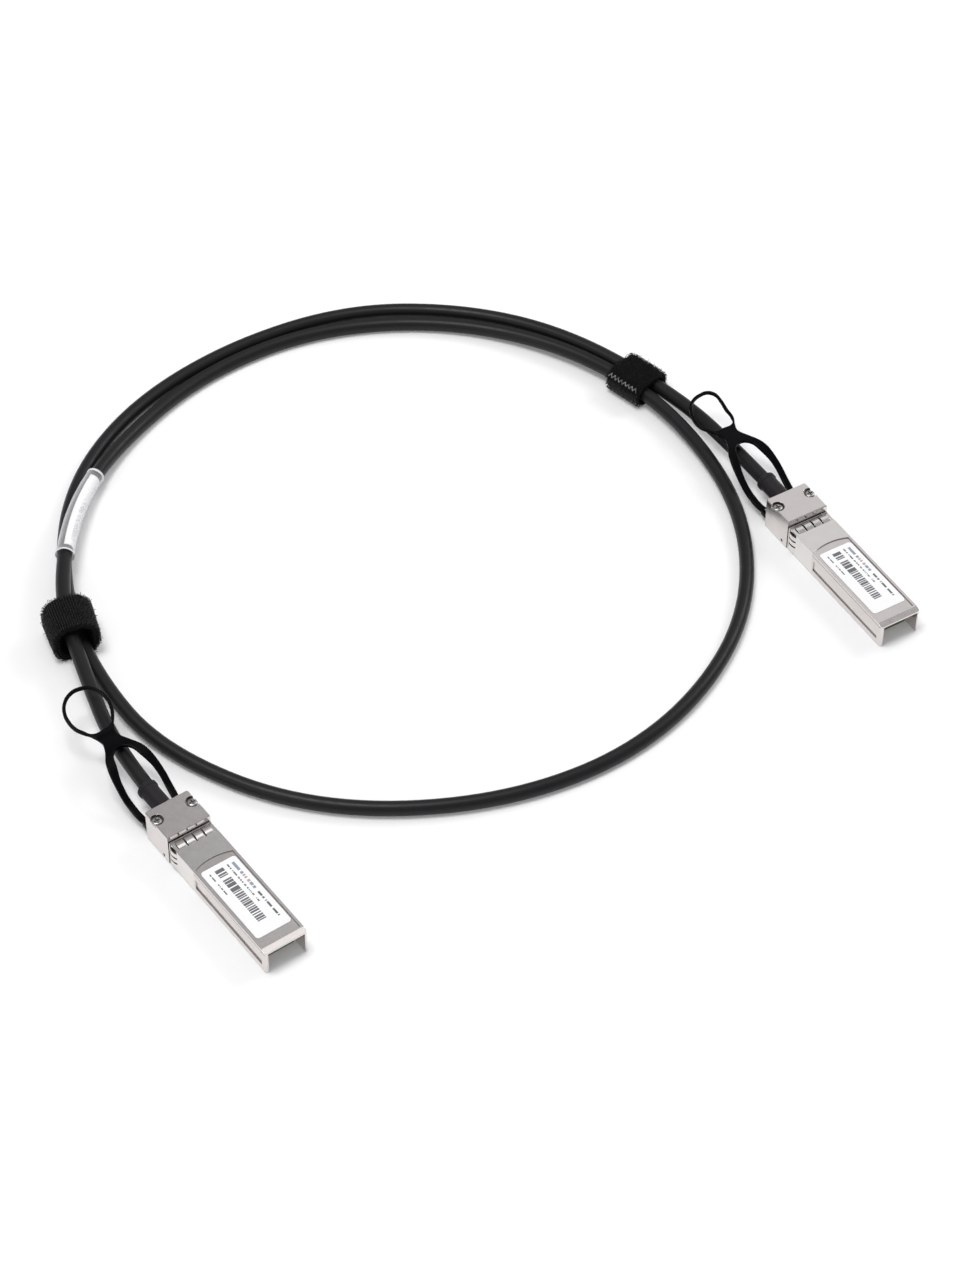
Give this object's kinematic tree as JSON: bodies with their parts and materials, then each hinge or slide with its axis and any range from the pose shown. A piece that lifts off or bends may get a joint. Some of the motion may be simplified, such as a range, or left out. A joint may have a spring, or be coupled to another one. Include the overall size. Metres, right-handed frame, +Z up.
{
  "type": "direct attach copper cable",
  "caption": "Coiled twinaxial network cable with a latching metal plug and pull tab at each end, held in a loop by two hook-and-loop straps.",
  "frame": {"origin": "underside of plug a, in its middle plane, level with the step where its raised block meets the nose", "axes": "+Z up from the surface the coil lies on; -Y the way plug a's nose points; +X towards plug b"},
  "size_m": [0.2332, 0.219, 0.0143],
  "materials": {
    "shell": "satin",
    "collar_sheet": "satin",
    "card": "satin",
    "gold": "polished",
    "chip": "matte",
    "capacitor": "satin",
    "core": "satin",
    "ferrule": "satin",
    "boot": "matte",
    "screw": "satin",
    "latch_steel": "satin",
    "pin_steel": "polished",
    "spring_wire": "satin",
    "strap": "semi-gloss",
    "label": "matte",
    "jacket": "matte",
    "clear_film": "gloss",
    "hook_loop": "fuzzy"
  },
  "bodies": {
    "coil": {"cable_jacket": "jacket", "marker_sleeve": "clear_film", "marker_paper": "label", "tie_left": "hook_loop", "tie_right": "hook_loop", "base_housing_a": "shell", "top_cover_a": "shell", "emi_collar_a": "collar_sheet", "paddle_card_a": "card", "edge_contacts_a": "gold", "memory_chip_a": "chip", "blocking_capacitors_a": "capacitor", "conductor_pairs_a": "core", "crimp_ferrule_a": "ferrule", "cable_boot_a": "boot", "cover_screws_a": "screw", "pivot_pin_a": "pin_steel", "return_springs_a": "spring_wire", "plug_label_a": "label", "base_housing_b": "shell", "top_cover_b": "shell", "emi_collar_b": "collar_sheet", "paddle_card_b": "card", "edge_contacts_b": "gold", "memory_chip_b": "chip", "blocking_capacitors_b": "capacitor", "conductor_pairs_b": "core", "crimp_ferrule_b": "ferrule", "cable_boot_b": "boot", "cover_screws_b": "screw", "pivot_pin_b": "pin_steel", "return_springs_b": "spring_wire", "plug_label_b": "label"},
    "pull_a": {"latch_slider_a": "latch_steel", "pull_tab_a": "strap"},
    "latch_a": {"latch_rocker_a": "latch_steel"},
    "pull_b": {"latch_slider_b": "latch_steel", "pull_tab_b": "strap"},
    "latch_b": {"latch_rocker_b": "latch_steel"}
  },
  "joints": [
    {"name": "pull_a_slide", "type": "slide", "parent": "coil", "child": "pull_a", "axis": [0, 1, 0], "range_m": [0, 0.0025], "stiffness_N_per_m": 600, "springref_m": -0.002, "deforming": ["return_springs_a"]},
    {"name": "latch_a_tip", "type": "hinge", "parent": "coil", "child": "latch_a", "pos_m": [0, 0.0025, 0.00125], "axis": [-1, 0, 0], "range_deg": [0, 8.1]},
    {"name": "pull_b_slide", "type": "slide", "parent": "coil", "child": "pull_b", "axis": [0.0868, 0.9962, 0], "range_m": [0, 0.0025], "stiffness_N_per_m": 600, "springref_m": -0.002, "deforming": ["return_springs_b"]},
    {"name": "latch_b_tip", "type": "hinge", "parent": "coil", "child": "latch_b", "pos_m": [0.21428, -0.00298, 0.00125], "axis": [-0.9962, 0.0868, 0], "range_deg": [0, 8.1]}
  ],
  "couplings": [
    {"joint": "latch_a_tip", "follows": "pull_a_slide", "rad_per_m": 56},
    {"joint": "latch_b_tip", "follows": "pull_b_slide", "rad_per_m": 56}
  ]
}
